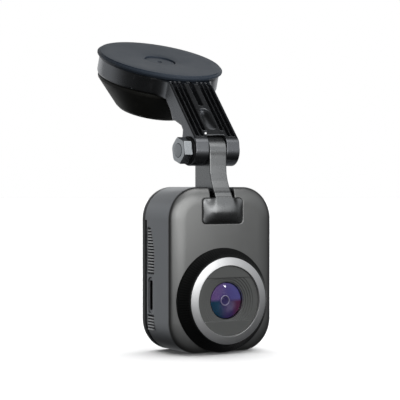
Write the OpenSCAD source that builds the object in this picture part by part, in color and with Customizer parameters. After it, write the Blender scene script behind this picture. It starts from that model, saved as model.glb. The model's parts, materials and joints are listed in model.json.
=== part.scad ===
// Dash camera hanging from a suction cup mount.
// The suction face centre is the origin. The lens faces -Y and +Z is up.
// Body frame used inside the modules: seam plane of the two shells at y = 0,
// underside of the camera at z = 0.

/* [Camera body] */
// Width of the camera body
body_w = 50; // [48:0.5:52]
// Height of the camera body
body_h = 70; // [68:0.5:72]
// Radius of the body's corners seen from the front
corner_r = 13.8; // [12:0.2:15]
// Depth of the rear housing, from the seam to the rear bezel
housing_d = 20.4; // [20.4:0.1:22]
// Thickness of the rear bezel
bezel_t = 3; // [3:0.1:3.4]
// Depth of the front cover ahead of the seam
cover_d = 2.4; // [2.4:0.1:3]
// Width of the rolled edge on the front cover
roll_w = 7.3; // [6:0.1:8]
// Wall thickness of the shells
wall = 1.8; // [1.6:0.1:2]

/* [Lens] */
// Height of the lens axis above the underside
lens_z = 22.2; // [22:0.1:23]
// Radius of the lens barrel where it meets the cover
barrel_r = 22.2; // [21:0.1:22.2]
// Outer radius of the trim ring
ring_r = 18.4; // [18:0.1:18.8]
// Inner radius of the trim ring
ring_in = 14.7; // [14.6:0.1:15]
// How far the trim ring stands ahead of the cover's face
barrel_len = 5.55; // [5.2:0.05:6]
// Radius of the domed front lens
dome_r = 7.7; // [7.2:0.1:7.8]

/* [Mount] */
// Radius of the suction cup
cup_r = 28.7; // [28:0.1:30]
// Lean of the suction face from level, towards the front
cup_tilt = 20; // [18:1:22]
// Height of the suction face centre above the camera's underside
cup_up = 128.1; // [127:0.1:130]
// Distance of the suction face centre behind the seam
cup_back = 52.3; // [51.5:0.1:53]
// Radius of the ring under the cup
band_r = 27.5; // [27.5:0.1:28]
// Lower edge of the ring, below the suction face
band_h = 10.2; // [10.2:0.1:10.4]
// Draw of the stem when the knob is turned a quarter turn
draw = 2.5; // [2:0.1:2.5]

/* [Hinge] */
// Distance of the hinge axis behind the seam
hinge_y = 7.8; // [7.6:0.1:8]
// Height of the hinge axis above the underside
hinge_z = 85.5; // [85:0.1:86]
// Radius of the hinge barrel
hinge_r = 6.5; // [6.3:0.1:6.5]
// Width over the two ears
ears_w = 21.8; // [21:0.2:23]
// Width of the bracket's tongue
tongue_w = 8.4; // [8:0.1:8.4]
// Radius of the hinge bolt
bolt_r = 3; // [2.9:0.05:3]

/* [Hidden] */
$fn = 96;
slot_w = 12;               // notch for the bracket's neck
foot_w = 19.9;             // bracket foot
foot_z0 = 54.5;
foot_z1 = 65.4;
in_w = body_w - 2*wall;
in_h = body_h - 2*wall;
in_r = corner_r - wall;
back_y = housing_d + bezel_t;
boss_x = 18.6;             // case screw bosses
boss_z = [7.6, body_h - 7.6];
key_x = [-15, -5, 5, 15];
key_z = 14;
usb_z = 48;
power_z = 36;
board_y = 13.4;
tip = barrel_len + cover_d; // front of the trim ring, ahead of the seam

// ---------- frames and helpers ----------

// body frame: seam plane y = 0, underside z = 0
module at_body() { translate([0, -cup_back, -cup_up]) children(); }
// cup frame: local +z is the outward normal of the suction face
module at_cup() { rotate([cup_tilt, 0, 0]) children(); }
// hinge frame, along X
module at_hinge() { at_body() translate([0, hinge_y, hinge_z]) children(); }

// 2-D shape in X-Z, extruded from y0 back to y1
module along_y(y0, y1) { translate([0, y1, 0]) rotate([90, 0, 0]) linear_extrude(y1 - y0) children(); }
// 2-D shape in Y-Z, extruded along X between x0 and x1
module along_x(x0, x1) { translate([x0, 0, 0]) rotate([90, 0, 90]) linear_extrude(x1 - x0) children(); }
module rod_y(r, y0, y1) { translate([0, y1, 0]) rotate([90, 0, 0]) cylinder(h = y1 - y0, r = r); }
module rod_x(r, x0, x1) { translate([x0, 0, 0]) rotate([0, 90, 0]) cylinder(h = x1 - x0, r = r); }
module block(x0, x1, y0, y1, z0, z1) { translate([x0, y0, z0]) cube([x1 - x0, y1 - y0, z1 - z0]); }

// rounded rectangle in 2-D, centred on x, standing on z = 0
module rr2(w, h, r) {
  union() {
    translate([-w/2 + r, 0]) square([w - 2*r, h]);
    translate([-w/2, r]) square([w, h - 2*r]);
    for (sx = [-1, 1], z = [r, h - r]) translate([sx*(w/2 - r), z]) circle(r);
  }
}
module body2(inset) { translate([0, inset]) rr2(body_w - 2*inset, body_h - 2*inset, corner_r - inset); }

// half section of a plate whose edge rolls over: u is the distance from the edge's centre of
// curvature, v is the height over the seam
function roll_pts(r, rw, d, n) = concat([[0, -0.001], [r, -0.001]],
  [for (i = [0:n]) [r - rw*(1 - cos(90*i/n)), 0.5 + (d - 0.5)*sin(90*i/n)]], [[0, d]]);
// the same section, mirrored, for the straight runs
function roll_bar(hw, r, rw, d, n) = concat(
  [for (i = [0:n]) [hw - rw*(1 - cos(90*i/n)), 0.5 + (d - 0.5)*sin(90*i/n)]],
  [for (i = [n:-1:0]) [-(hw - rw*(1 - cos(90*i/n))), 0.5 + (d - 0.5)*sin(90*i/n)]],
  [[-hw, 0], [hw, 0]]);

// plate with a rolled edge all round, from the seam plane forwards to y = -d
module rolled(inset, d, n) {
  w = body_w - 2*inset; h = body_h - 2*inset; r = corner_r - inset;
  translate([0, 0, inset]) union() {
    for (sx = [-1, 1], z = [r, h - r])
      translate([sx*(w/2 - r), 0, z]) rotate([90, 0, 0]) rotate_extrude() polygon(roll_pts(r, roll_w, d, n));
    translate([0, 0, r]) linear_extrude(h - 2*r) mirror([0, 1]) polygon(roll_bar(w/2, r, roll_w, d, n));
    translate([0, 0, h/2]) along_x(-w/2 + r, w/2 - r)
      rotate(90) polygon(roll_bar(h/2, r, roll_w, d, n));
  }
}

// ---------- mount ----------

module suction_cup() color([0.27, 0.29, 0.32]) at_cup()
  rotate_extrude() polygon([[7.05, -5.6], [7.05, -0.9], [9, -0.7], [24, 0], [cup_r - 0.6, 0], [cup_r, -0.6],
    [cup_r, -1.3], [band_r + 0.1, -2.6], [25.1, -2.6], [24.9, -5.6]]);

// side outline of the sloping arm and its ears, in the body frame
arm_pts = [[25.9, 116.6], [2.9, 91.2], [1.35, 86.2], [hinge_y, hinge_z], [14.25, 86.2], [13.3, 91.7],
  [12.9, 94.3], [14.2, 96.3], [19.5, 98.4], [21.8, 98.9], [24.0, 103.4], [27.7, 107.6], [33.6, 112.2], [32, 118]];
arm_a = -42.2;   // lean of the arm's front face

module on_arm() { at_body() translate([0, 25.9, 116.6]) rotate([arm_a, 0, 0]) children(); }

module mount_arm() color([0.24, 0.25, 0.27]) difference() {
  union() {
    at_cup() translate([0, 0, -band_h]) cylinder(h = band_h - 2.7, r = band_r);
    at_cup() translate([0, 0, -12.6]) cylinder(h = 2.5, r = 9);
    at_cup() translate([0, 0, -14.4]) cylinder(h = 2, r = 7.2);
    at_body() along_x(-ears_w/2, ears_w/2) polygon(arm_pts);
    at_hinge() rod_x(hinge_r, -ears_w/2, ears_w/2);
  }
  // level top, just under the cup's rim
  at_cup() translate([0, 0, -2.7]) cylinder(h = 16, r = 40);
  // hollow that holds the cup
  at_cup() translate([0, 0, -8.2]) cylinder(h = 12, r = 25.3);
  // guide bore for the stem
  at_cup() translate([0, 0, -16]) cylinder(h = 10, r = 2.68);
  // slot for the stem's cross pin
  at_cup() block(-6.8, 6.8, -1.3, 1.3, -13.5, -6);
  // clevis gap
  at_body() block(-tongue_w/2 - 0.2, tongue_w/2 + 0.2, -4, 15.5, 76, 92.4);
  // bolt hole and counterbore for its head
  at_hinge() rod_x(bolt_r + 0.05, -20, 20);
  at_hinge() rod_x(5.2, 7.5, 20);
  // grooves down the front face of the arm
  for (sx = [-1, 1]) {
    on_arm() block(sx*8.85 - 0.75, sx*8.85 + 0.75, -1, 3.4, -32.5, -3);
    on_arm() block(sx*6.65 - 0.75, sx*6.65 + 0.75, -1, 3.4, -32.5, -3);
    on_arm() block(sx*4.45 - 0.75, sx*4.45 + 0.75, -1, 3.4, -29, -3);
  }
  on_arm() block(-1.1, 1.1, -1, 3, -16.5, -3);
  on_arm() block(-2.6, 2.6, -1, 2.2, -30.5, -18.5);
}

module hinge_bolt() color([0.55, 0.56, 0.58]) at_hinge() difference() {
  union() {
    rod_x(bolt_r, -16, 8);
    rod_x(5, 7.6, 10.7);
  }
  translate([9, 0, 0]) rotate([0, 90, 0]) cylinder(h = 4, r = 2.4, $fn = 6);
}

module hinge_nut() color([0.72, 0.73, 0.75]) at_hinge() difference() {
  translate([-15.9, 0, 0]) rotate([18, 0, 0]) rotate([0, 90, 0]) rotate(30) cylinder(h = 4.15, r = 5.85, $fn = 6);
  rod_x(bolt_r, -20, -5);
}

module hinge_washer() color([0.05, 0.05, 0.06]) at_hinge() difference() {
  rod_x(6.1, -11.7, -ears_w/2 - 0.02);
  rod_x(bolt_r + 0.1, -20, -5);
}

module knob_clip() color([0.6, 0.61, 0.63]) at_cup() difference() {
  translate([0, 0, -13.7]) cylinder(h = 0.9, r = 10.6);
  translate([0, 0, -15]) cylinder(h = 4, r = 7.2);
}

// knob with the central hub that carries the stem's coarse thread
module lock_knob() color([0.07, 0.07, 0.08]) at_cup()
  rotate_extrude() polygon([[9.08, -10.35], [26.6, -10.35], [26.9, -10.7], [26.9, -11.9], [17.2, -23.4], [15.6, -24.7], [0, -24.7],
    [0, -22.9], [2.68, -22.9], [2.68, -15.2], [6, -15.2], [6, -22.9], [14.6, -22.9], [23.9, -12.5], [9.08, -12.5]]);

module draw_stem() color([0.4, 0.42, 0.45]) at_cup() difference() {
  union() {
    translate([0, 0, -4.2]) cylinder(h = 2.2, r = 6.95);
    translate([0, 0, -19.9]) cylinder(h = 16, r = 2.6);
  }
  translate([-10, 0, -9.6]) rotate([0, 90, 0]) cylinder(h = 20, r = 1.2);
  translate([0, 0, -2.6]) cylinder(h = 3, r = 0.8);
}

// cross pin that keeps the stem from turning
module stem_pin() color([0.62, 0.63, 0.65]) at_cup() translate([-6.5, 0, -9.6]) rotate([0, 90, 0]) cylinder(h = 13, r = 1.2);

// ---------- bracket ----------

neck_pts = [[14.05, hinge_z], [13.85, 79], [13.85, 66.4], [2, 66.4], [0.4, 65.2], [0.4, 62], [-3.4, 62], [-3.5, 65.4],
  [-2.4, 67.6], [-1.1, 69.9], [0.2, 73], [1.2, 75.6], [1.4, 79], [1.5, hinge_z]];

module camera_bracket() color([0.45, 0.46, 0.47]) difference() {
  union() {
    at_hinge() rod_x(hinge_r, -tongue_w/2, tongue_w/2);
    at_body() along_x(-tongue_w/2, tongue_w/2) polygon(neck_pts);
    // foot
    at_body() intersection() {
      translate([0, 0, foot_z0]) along_y(-8, 2) rr2(foot_w, foot_z1 - foot_z0, 1.8);
      along_x(-foot_w/2, foot_w/2) polygon([[0.4, 54], [0.4, 66], [-3.2, 66], [-3.5, 64.6], [-4.4, 61.2], [-4.4, 59.8],
        [-2.4, 54.5], [-2.4, 54]]);
    }
  }
  at_hinge() rod_x(bolt_r + 0.05, -20, 20);
  for (sx = [-1, 1]) at_body() translate([sx*6.5, 0, 60]) rod_y(0.8, -1.8, 2);
}

module bracket_retainer() color([0.5, 0.51, 0.53]) at_body() difference() {
  translate([0, 0, 51.5]) along_y(0.5, 1.9) rr2(26, 13.2, 2);
  for (sx = [-1, 1]) translate([sx*6.5, 0, 60]) rod_y(0.9, 0, 4);
}

module bracket_screws() color([0.66, 0.67, 0.69]) at_body() for (sx = [-1, 1]) translate([sx*6.5, 0, 60]) {
  rod_y(0.8, -1.6, 2.0);
  rod_y(1.6, 1.9, 2.9);
}

// ---------- shells ----------

module front_cover() color([0.42, 0.42, 0.42]) at_body() difference() {
  union() {
    difference() {
      union() {
        rolled(0, cover_d, 6);
        // flat seat for the lens barrel
        translate([0, 0, lens_z]) rod_y(barrel_r - 0.4, -cover_d, -0.3);
      }
      rolled(wall, cover_d - 1.5, 6);
      translate([0, 1, 0]) along_y(-1, 0) body2(wall);
    }
    // lip that locates in the rear housing
    difference() {
      along_y(-0.3, 2.2) body2(wall + 0.1);
      along_y(-1.2, 4) body2(wall + 1.3);
    }
    for (sx = [-1, 1], z = boss_z) translate([sx*boss_x, 0, z]) rod_y(2.4, -0.9, 2.2);
  }
  // lens hole, and behind it the seat of the lock ring
  translate([0, 0, lens_z]) rod_y(17.6, -9, 9);
  translate([0, 0, lens_z]) rod_y(19, -1.1, 0.2);
  // notch for the neck and window for the foot
  block(-slot_w/2, slot_w/2, -9, 9, foot_z1 - 2, body_h + 1);
  translate([0, 0, foot_z0 - 0.2]) along_y(-9, 0.45) rr2(foot_w + 0.4, foot_z1 - foot_z0 + 0.4, 2);
  for (sx = [-1, 1], z = boss_z) translate([sx*boss_x, 0, z]) rod_y(1.0, -0.6, 4);
}

vent_pts = [for (i = [0:16]) let(z = 32.2 + 1.25*i) [z, z < 43.5 ? 12.5 : 12.5 + (z - 43.5)*0.34]];

module rear_housing() color([0.33, 0.34, 0.36]) at_body() difference() {
  union() {
    difference() {
      along_y(0.0, housing_d) body2(0);
      along_y(-1, housing_d + 1) body2(wall);
    }
    for (sx = [-1, 1], z = boss_z) translate([sx*boss_x, 0, z]) rod_y(2.6, 2.4, housing_d);
  }
  for (sx = [-1, 1], z = boss_z) translate([sx*boss_x, 0, z]) rod_y(1.1, 0, 30);
  // slot in the top for the bracket's neck
  block(-slot_w/2, slot_w/2, -1, 14.8, body_h - 5, body_h + 1);
  // shadow groove ahead of the bezel, both sides and bottom
  difference() {
    along_y(housing_d - 1.6, housing_d + 1) body2(-1);
    along_y(housing_d - 2, housing_d + 2) body2(0.8);
    block(-40, 40, 0, 40, 55.9, 80);
  }
  // vents in the left wall
  for (v = vent_pts) block(-26, -20, v[1], 18.3, v[0] - 0.3, v[0] + 0.3);
  for (i = [0:4]) block(-26, -20, 12.6, 18.3, 10.2 + 1.25*i - 0.3, 10.2 + 1.25*i + 0.3);
  // memory card slot
  block(-26, -20, 14.8, 17.0, 17.8, 30.2);
  // USB opening and power button opening in the right wall
  block(20, 26, 14.2, 17.6, usb_z - 4.3, usb_z + 4.3);
  block(20, 26, 14.2, 17.4, power_z - 4.1, power_z + 4.1);
  // microphone hole
  translate([8, 8, -1]) cylinder(h = 5, r = 0.6);
}

module rear_bezel() color([0.13, 0.13, 0.14]) at_body() difference() {
  along_y(housing_d, back_y) body2(0);
  // window recess and display opening
  translate([0, 0, 29.8]) along_y(back_y - 1.1, back_y + 1) rr2(38.4, 30.4, 1.2);
  translate([0, 0, 33]) along_y(housing_d - 1, back_y + 1) rr2(33, 25, 0.6);
  // key openings
  for (x = key_x) translate([x, 0, key_z - 2.3]) along_y(housing_d - 1, back_y + 1) rr2(8.2, 4.6, 1.4);
  // case screw holes with counterbores
  for (sx = [-1, 1], z = boss_z) translate([sx*boss_x, 0, z]) {
    rod_y(1.1, 10, 30);
    rod_y(2.1, back_y - 1.5, 30);
  }
  translate([0, 0, 24.5]) rod_y(1.05, 10, 30);
}

module case_screws() color([0.3, 0.3, 0.32]) at_body() for (sx = [-1, 1], z = boss_z) translate([sx*boss_x, 0, z])
  difference() {
    union() {
      rod_y(0.95, 0, back_y - 1.5);
      rod_y(1.9, back_y - 1.5, back_y - 0.4);
    }
    block(-0.25, 0.25, back_y - 0.9, 30, -1.2, 1.2);
    block(-1.2, 1.2, back_y - 0.9, 30, -0.25, 0.25);
  }

// ---------- lens ----------

module lens_barrel() color([0.05, 0.05, 0.055]) at_body() translate([0, 0, lens_z]) rotate([90, 0, 0])
  rotate_extrude() polygon([[9.2, 3.95], [9.2, -1.2], [17.4, -1.2], [17.4, cover_d], [barrel_r, cover_d], [barrel_r - 0.2, cover_d + 0.5],
    [ring_r + 0.3, tip - 0.9], [ring_r - 0.6, tip - 0.5], [ring_r - 0.9, tip - 0.5], [ring_r - 0.9, tip - 1.5],
    [ring_in + 0.05, tip - 1.5], [ring_in + 0.05, 3.95]]);

module lens_trim_ring() color([0.8, 0.8, 0.8]) at_body() translate([0, 0, lens_z]) rotate([90, 0, 0])
  rotate_extrude() polygon([[ring_in + 0.05, tip - 1.5], [ring_r - 0.9, tip - 1.5], [ring_r - 0.9, tip - 0.5], [ring_r, tip - 0.5],
    [ring_r, tip - 0.25], [ring_r - 0.3, tip], [ring_in + 0.25, tip], [ring_in + 0.05, tip - 0.2]]);

module lens_fascia() color([0.36, 0.36, 0.37]) at_body() translate([0, 0, lens_z]) rotate([90, 0, 0])
  rotate_extrude() polygon([[7.9, 4.05], [ring_in, 4.05], [ring_in, tip - 0.75], [12.0, tip - 0.75], [12.0, tip - 1.05], [11.2, tip - 1.05],
    [11.2, tip - 1.4], [10.3, tip - 1.4], [10.3, tip - 1.75], [9.4, tip - 1.75], [9.4, tip - 2.1], [8.5, tip - 2.1],
    [8.5, tip - 2.4], [7.9, tip - 2.4]]);

// domed outer element
module front_lens() color([0.2, 0.16, 0.42, 0.6]) at_body() translate([0, 0, lens_z]) intersection() {
  translate([0, 8.65, 0]) sphere(r = 16.4);
  rod_y(dome_r, -9, -3.6);
}

module lens_cell() color([0.08, 0.08, 0.09]) at_body() translate([0, 0, lens_z]) difference() {
  union() {
    rod_y(dome_r + 0.15, -3.55, 0);
    rod_y(7, -0.1, 9.4);
  }
  rod_y(6.2, -5, 0.4);
  rod_y(5.0, -5, 12);
}

module inner_lenses() color([0.6, 0.65, 0.75, 0.5]) at_body() translate([0, 0, lens_z]) {
  rod_y(6.15, -1.6, 0.35);
  rod_y(4.95, 2.5, 4.2);
  rod_y(4.95, 6, 7.2);
}

module lens_holder() color([0.09, 0.09, 0.1]) at_body() translate([0, 0, lens_z]) difference() {
  union() {
    rod_y(8.8, 1.5, 9.5);
    block(-11, 11, 9.4, 11, -11, 11);
  }
  rod_y(7.05, 0, 9.5);
  rod_y(4.6, 0, 12);
  block(-5, 5, 10.0, 12, -4.5, 4.5);
  for (sx = [-1, 1]) translate([sx*9, 0, 0]) rod_y(0.75, 5, 12);
}

module image_sensor() color([0.16, 0.2, 0.24]) at_body() block(-4.2, 4.2, 10.2, 11.05, lens_z - 3.8, lens_z + 3.8);

module sensor_board() color([0.08, 0.3, 0.16]) at_body() difference() {
  block(-12, 12, 11.1, 12.1, lens_z - 12, lens_z + 12);
  for (sx = [-1, 1]) translate([sx*9, 0, lens_z]) rod_y(0.9, 5, 15);
}

module sensor_screws() color([0.66, 0.67, 0.69]) at_body() for (sx = [-1, 1]) translate([sx*9, 0, lens_z]) {
  rod_y(0.7, 9.8, 12.2);
  rod_y(1.5, 12.1, 12.9);
}

module barrel_lock_ring() color([0.1, 0.1, 0.11]) at_body() translate([0, 0, lens_z]) difference() {
  rod_y(18.8, -1.1, 0.6);
  rod_y(17.45, -2, 3);
}

// ---------- electronics ----------

module main_board() color([0.07, 0.32, 0.17]) at_body() difference() {
  block(-19, 20.5, board_y, board_y + 1, 12.2, 57.8);
  for (x = [-16, 17.5], z = [15, 55]) translate([x, 0, z]) rod_y(0.9, 10, 20);
}

module board_screws() color([0.66, 0.67, 0.69]) at_body() for (x = [-16, 17.5], z = [15, 55]) translate([x, 0, z]) {
  rod_y(0.8, 11, board_y + 1);
  rod_y(1.4, board_y + 1, board_y + 1.8);
}

module processor() color([0.12, 0.12, 0.13]) at_body() block(0, 14, board_y + 1, board_y + 2.3, 33, 47);

module battery() color([0.75, 0.76, 0.78]) at_body() block(-15, 15, 8.6, board_y - 0.1, 37.5, 57);

module speaker() color([0.15, 0.15, 0.16]) at_body() block(-23.1, -19.9, 8, 18.2, 34, 50);

module microphone() color([0.7, 0.7, 0.72]) at_body() translate([8, 8, wall]) cylinder(h = 1.6, r = 2.2);

// thin-walled socket, open to the left
module card_socket() color([0.7, 0.71, 0.73]) at_body() difference() {
  block(-22.9, -7, board_y + 1, 17.2, 17.0, 31.0);
  block(-26, -9.0, 15.3, 16.5, 18.2, 29.8);
}

module usb_socket() color([0.72, 0.73, 0.75]) at_body() difference() {
  block(17.5, 24.7, board_y + 1, 17.3, usb_z - 4.05, usb_z + 4.05);
  block(19, 26, board_y + 1.4, 16.9, usb_z - 3.6, usb_z + 3.6);
}

module side_switch() color([0.14, 0.14, 0.15]) at_body() block(16.5, 20.9, board_y + 1, 17.2, power_z - 3, power_z + 3);

module key_board() color([0.07, 0.32, 0.17]) at_body() block(-19.4, 19.4, 16.5, 17.4, 10.8, 16.7);

module key_switches() color([0.6, 0.6, 0.62]) at_body() for (x = key_x) {
  block(x - 1.8, x + 1.8, 17.4, 18.3, key_z - 1.8, key_z + 1.8);
  translate([x, 0, key_z]) rod_y(0.9, 18.2, 18.65);
}

module display_panel() color([0.1, 0.11, 0.13]) at_body() block(-18, 18, 17.7, housing_d - 0.1, 31.0, 59.0);

module display_window() color([0.05, 0.05, 0.06, 0.7]) at_body() translate([0, 0, 30]) along_y(back_y - 1.08, back_y - 0.05) rr2(38, 30, 1);

module display_ribbon() color([0.7, 0.45, 0.12]) at_body() union() {
  block(2, 13, 18.6, 18.9, 26.8, 30.98);
  block(2, 13, board_y + 1.02, 18.9, 26.8, 27.1);
}

module status_light() color([0.85, 0.87, 0.9, 0.6]) at_body() translate([0, 0, 24.5]) rod_y(1.0, 17.6, back_y + 0.1);

// ---------- moving pieces ----------

module key_at(x) at_body() union() {
  translate([x, 0, key_z - 2.1]) along_y(20.0, back_y + 0.5) rr2(7.8, 4.2, 1.2);
  translate([x, 0, key_z - 2.7]) along_y(19.4, 20.2) rr2(9.2, 5.4, 0.8);
}
module menu_key() color([0.2, 0.2, 0.21]) key_at(key_x[0]);
module up_key() color([0.2, 0.2, 0.21]) key_at(key_x[1]);
module down_key() color([0.2, 0.2, 0.21]) key_at(key_x[2]);
module ok_key() color([0.2, 0.2, 0.21]) key_at(key_x[3]);

module power_button() color([0.2, 0.2, 0.21]) at_body() union() {
  along_x(22, body_w/2 + 0.6) translate([15.8, power_z - 3.9]) rr2(2.8, 7.8, 1.2);
  block(21.5, 22.9, 13.6 + 0.95, 17.9, power_z - 5, power_z + 5);
}

module memory_card() color([0.09, 0.09, 0.1]) at_body() difference() {
  block(-24.6, -9.6, 15.45, 16.3, 18.5, 29.5);
  block(-14, -8, 15, 17, 18.0, 19.6);
}

suction_cup();
mount_arm();
hinge_bolt();
hinge_nut();
hinge_washer();
knob_clip();
lock_knob();
draw_stem();
stem_pin();
camera_bracket();
bracket_retainer();
bracket_screws();
front_cover();
rear_housing();
rear_bezel();
case_screws();
lens_barrel();
lens_trim_ring();
lens_fascia();
front_lens();
lens_cell();
inner_lenses();
lens_holder();
image_sensor();
sensor_board();
sensor_screws();
barrel_lock_ring();
main_board();
board_screws();
processor();
battery();
speaker();
microphone();
card_socket();
usb_socket();
side_switch();
key_board();
key_switches();
display_panel();
display_window();
display_ribbon();
status_light();
menu_key();
up_key();
down_key();
ok_key();
power_button();
memory_card();
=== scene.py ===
# Looks for the dash camera on its suction mount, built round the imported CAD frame.
import json
import math

import bpy
import numpy as np
from mathutils import Matrix, Vector

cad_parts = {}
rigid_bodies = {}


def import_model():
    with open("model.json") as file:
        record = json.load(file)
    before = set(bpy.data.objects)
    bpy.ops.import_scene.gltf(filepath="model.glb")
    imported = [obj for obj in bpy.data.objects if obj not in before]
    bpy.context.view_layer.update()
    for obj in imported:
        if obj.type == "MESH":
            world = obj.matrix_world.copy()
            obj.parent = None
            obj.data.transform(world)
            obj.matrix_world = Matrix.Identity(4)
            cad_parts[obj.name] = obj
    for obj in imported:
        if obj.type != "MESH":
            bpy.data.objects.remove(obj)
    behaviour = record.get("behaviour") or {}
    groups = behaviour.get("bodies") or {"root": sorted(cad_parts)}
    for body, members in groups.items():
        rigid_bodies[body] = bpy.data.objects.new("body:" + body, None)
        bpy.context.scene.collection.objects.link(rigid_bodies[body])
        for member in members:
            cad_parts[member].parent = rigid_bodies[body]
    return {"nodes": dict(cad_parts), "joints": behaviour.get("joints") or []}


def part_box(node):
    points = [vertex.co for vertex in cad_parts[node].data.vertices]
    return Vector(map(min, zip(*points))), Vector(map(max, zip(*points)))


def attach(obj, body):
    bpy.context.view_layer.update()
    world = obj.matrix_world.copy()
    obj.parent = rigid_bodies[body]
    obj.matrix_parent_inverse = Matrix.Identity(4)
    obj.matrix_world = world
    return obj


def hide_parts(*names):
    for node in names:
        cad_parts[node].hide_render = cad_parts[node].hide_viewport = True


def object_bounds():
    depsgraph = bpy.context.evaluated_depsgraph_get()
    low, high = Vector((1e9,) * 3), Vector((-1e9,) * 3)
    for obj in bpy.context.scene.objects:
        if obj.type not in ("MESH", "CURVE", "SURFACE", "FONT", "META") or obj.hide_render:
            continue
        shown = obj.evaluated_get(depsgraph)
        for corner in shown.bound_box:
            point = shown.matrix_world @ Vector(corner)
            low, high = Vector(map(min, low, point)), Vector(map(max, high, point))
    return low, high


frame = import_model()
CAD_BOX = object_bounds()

np.seterr(all="ignore")
F = np.float32

# ------------------------------------------------------------------ places
# Everything is placed from the CAD boxes and joints. Lengths below are in millimetres in the
# body frame: x to the right, y = 0 at the seam of the two shells (the lens faces -y), z = 0 at
# the underside of the camera.
hlo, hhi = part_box("rear_housing")
O = np.array([(hlo.x + hhi.x) / 2, hlo.y, hlo.z])
JOINT = {j["name"]: j for j in frame["joints"]}
UP = np.array(JOINT["knob_twist"]["axis"], float)
UP = UP / np.linalg.norm(UP) * (1 if UP[2] > 0 else -1)
CT, ST = UP[2], -UP[1]                       # cosine and sine of the cup's lean
CUPO = -O * 1000                             # suction face centre, in the body frame
HY, HZ = ((np.array(JOINT["camera_tilt"]["pos_m"]) - O) * 1000)[1:]
BW = (hhi.x - hlo.x) * 1000                  # body width
BH = (hhi.z - hlo.z) * 1000                  # body height
HD = (hhi.y - hlo.y) * 1000                  # depth of the housing
blo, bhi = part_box("rear_bezel")
BACK = (bhi.y - O[1]) * 1000
LX, LZ = 0.0, (sum(v.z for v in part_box("lens_trim_ring")) / 2 - O[2]) * 1000
TIP = -(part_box("lens_trim_ring")[0].y - O[1]) * 1000      # how far the ring stands ahead of the seam
CR = 13.8                                    # corner radius of the body


def body_pts(v):
    return O + np.asarray(v, float) / 1000


def cup_pts(v):
    v = np.asarray(v, float)
    x, y, h = v[:, 0], v[:, 1], v[:, 2]
    return np.stack([x, y * CT - h * ST, y * ST + h * CT], 1) / 1000


def to_cup(x, y, z):
    """body frame to (radius in the cup's plane, height over the suction face, in-plane y)"""
    ry, rz = y - CUPO[1], z - CUPO[2]
    ly, h = ry * CT + rz * ST, -ry * ST + rz * CT
    return np.hypot(x, ly), h, ly


# ------------------------------------------------------------------ distance fields
def rrect(u, v, hu, hv, r):
    qu, qv = np.abs(u) - (hu - r), np.abs(v) - (hv - r)
    return np.hypot(np.maximum(qu, 0), np.maximum(qv, 0)) + np.minimum(np.maximum(qu, qv), 0) - r


def both(a, b, r=0.0):
    """intersection, with a rounded outer edge"""
    if r <= 0:
        return np.maximum(a, b)
    return np.minimum(-r, np.maximum(a, b)) + np.hypot(np.maximum(a + r, 0), np.maximum(b + r, 0))


def join(a, b, r=0.0):
    """union, with a fillet in the corner"""
    if r <= 0:
        return np.minimum(a, b)
    return np.maximum(r, np.minimum(a, b)) - np.hypot(np.maximum(r - a, 0), np.maximum(r - b, 0))


def cut(a, b, r=0.0):
    """a without b, with a rounded edge"""
    return both(a, -b, r)


def blendmin(a, b, k):
    h = np.clip(0.5 + 0.5 * (b - a) / k, 0, 1)
    return b * (1 - h) + a * h - k * h * (1 - h)


def slab(v, lo, hi):
    return np.abs(v - (lo + hi) / 2) - (hi - lo) / 2


def poly2(u, v, pts):
    """signed distance to a polygon"""
    best = np.full(u.shape, 1e9, F)
    inside = np.zeros(u.shape, bool)
    k = len(pts)
    for i in range(k):
        (ax, ay), (bx, by) = pts[i], pts[(i + 1) % k]
        ex, ey = bx - ax, by - ay
        wx, wy = u - ax, v - ay
        t = np.clip((wx * ex + wy * ey) / (ex * ex + ey * ey), 0, 1)
        best = np.minimum(best, (wx - t * ex) ** 2 + (wy - t * ey) ** 2)
        hit = ((ay > v) != (by > v)) & (u < (bx - ax) * (v - ay) / ((by - ay) if by != ay else 1e-9) + ax)
        inside ^= hit
    d = np.sqrt(best)
    return np.where(inside, -d, d)


def lines(*spans):
    """grid lines: (start, end, step) spans joined end to end"""
    out = []
    for a, b, s in spans:
        k = max(1, int(math.ceil((b - a) / s - 1e-6)))
        out.extend(list(np.linspace(a, b, k + 1)[:-1]))
    out.append(spans[-1][1])
    return np.array(out, float)


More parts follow.
